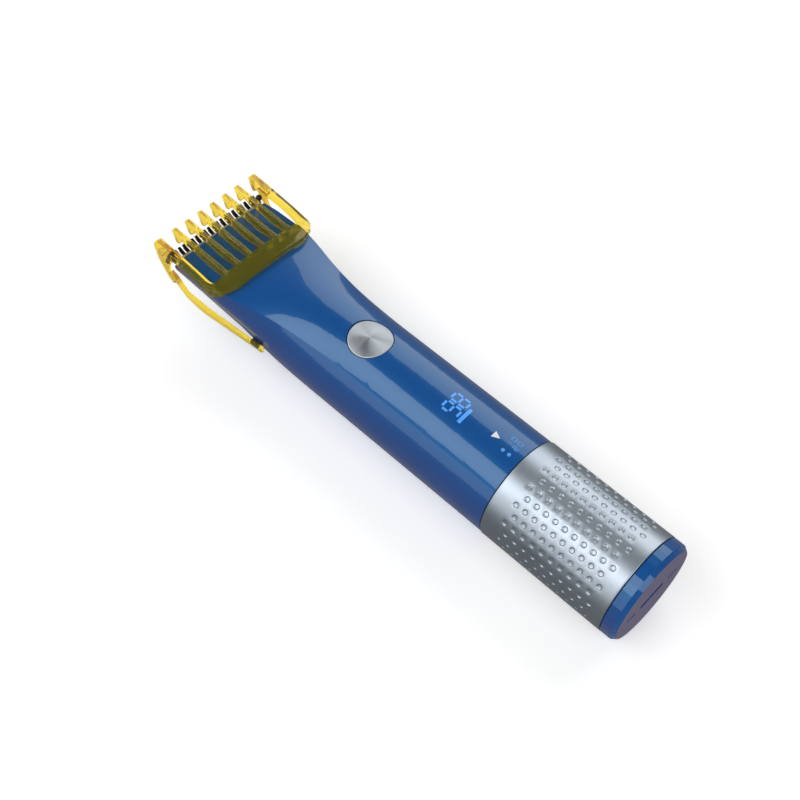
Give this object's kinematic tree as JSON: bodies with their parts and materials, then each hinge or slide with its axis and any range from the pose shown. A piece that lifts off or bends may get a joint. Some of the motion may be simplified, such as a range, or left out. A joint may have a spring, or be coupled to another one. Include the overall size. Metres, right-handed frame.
{
  "type": "body groomer",
  "caption": "Cordless body groomer: round handle, flared head with a cutter and a sliding comb, power button, lit display and a turning length dial before the end cap.",
  "frame": {"origin": "under the middle of the length, on the surface that the groomer lies on, back down", "axes": "+X to the tail with the charging socket, comb at -X, +Z to the side with the button and the display, Y across"},
  "size_m": [0.1758, 0.041, 0.032],
  "materials": {
    "blue_shell": "glossy",
    "brushed_metal": "brushed",
    "amber": "glossy",
    "dial_plastic": "matte",
    "steel": "brushed",
    "black_plastic": "matte",
    "brass": "polished",
    "light": "glossy",
    "board": "matte",
    "seal": "matte",
    "battery": "glossy",
    "contact": "polished"
  },
  "bodies": {
    "housing": {"battery_cell": "battery", "battery_tabs": "contact", "blade_spring": "steel", "blade_strip": "steel", "board_chips": "black_plastic", "board_screws": "steel", "button_seal": "seal", "button_switch": "black_plastic", "cap_studs": "steel", "charge_contacts": "contact", "charge_socket": "black_plastic", "chassis": "dial_plastic", "core_tube": "dial_plastic", "cutter_base": "black_plastic", "detent_ball": "steel", "detent_spring": "steel", "dial_bearings": "dial_plastic", "dial_seals": "seal", "display_module": "black_plastic", "end_cap": "blue_shell", "end_guards": "black_plastic", "fixed_blade": "steel", "front_bush": "dial_plastic", "front_shell": "blue_shell", "light_guide": "light", "main_board": "board", "motor_bracket": "dial_plastic", "motor_can": "steel", "motor_end_bell": "black_plastic", "motor_screws": "steel", "rear_bush": "dial_plastic", "rear_shell": "blue_shell"},
    "dial": {"dial_sleeve": "brushed_metal", "dial_carrier": "dial_plastic", "dial_ring_gear": "dial_plastic"},
    "screw": {"lead_screw": "steel", "screw_pinion": "brass"},
    "comb_slider": {"comb": "amber", "comb_carriage": "dial_plastic", "carriage_nut": "brass"},
    "button": {"power_button": "brushed_metal", "button_stem": "black_plastic"},
    "rotor": {"motor_shaft": "steel", "drive_cam": "black_plastic"},
    "cutter": {"moving_blade": "steel", "blade_driver": "dial_plastic"}
  },
  "joints": [
    {"name": "dial_turn", "type": "hinge", "parent": "housing", "child": "dial", "pos_m": [0.05, 0, 0.016], "axis": [1, 0, 0], "range_deg": [0, 270]},
    {"name": "screw_spin", "type": "hinge", "parent": "housing", "child": "screw", "pos_m": [0, 0, 0.0045], "axis": [1, 0, 0], "range_deg": [0, 1824]},
    {"name": "comb_slide", "type": "slide", "parent": "housing", "child": "comb_slider", "axis": [-1, 0, 0], "range_m": [0, 0.009]},
    {"name": "button_press", "type": "slide", "parent": "housing", "child": "button", "axis": [0, 0, -1], "range_m": [0, 0.0006], "stiffness_N_per_m": 2000},
    {"name": "motor_spin", "type": "hinge", "parent": "housing", "child": "rotor", "pos_m": [-0.05, 0, 0.015], "axis": [-1, 0, 0], "continuous": true},
    {"name": "blade_slide", "type": "slide", "parent": "housing", "child": "cutter", "axis": [0, 1, 0], "range_m": [-0.0011, 0.0011]}
  ],
  "couplings": [
    {"joint": "screw_spin", "follows": "dial_turn", "ratio": 6.75},
    {"joint": "comb_slide", "follows": "dial_turn", "m_per_rad": 0.0019077}
  ]
}
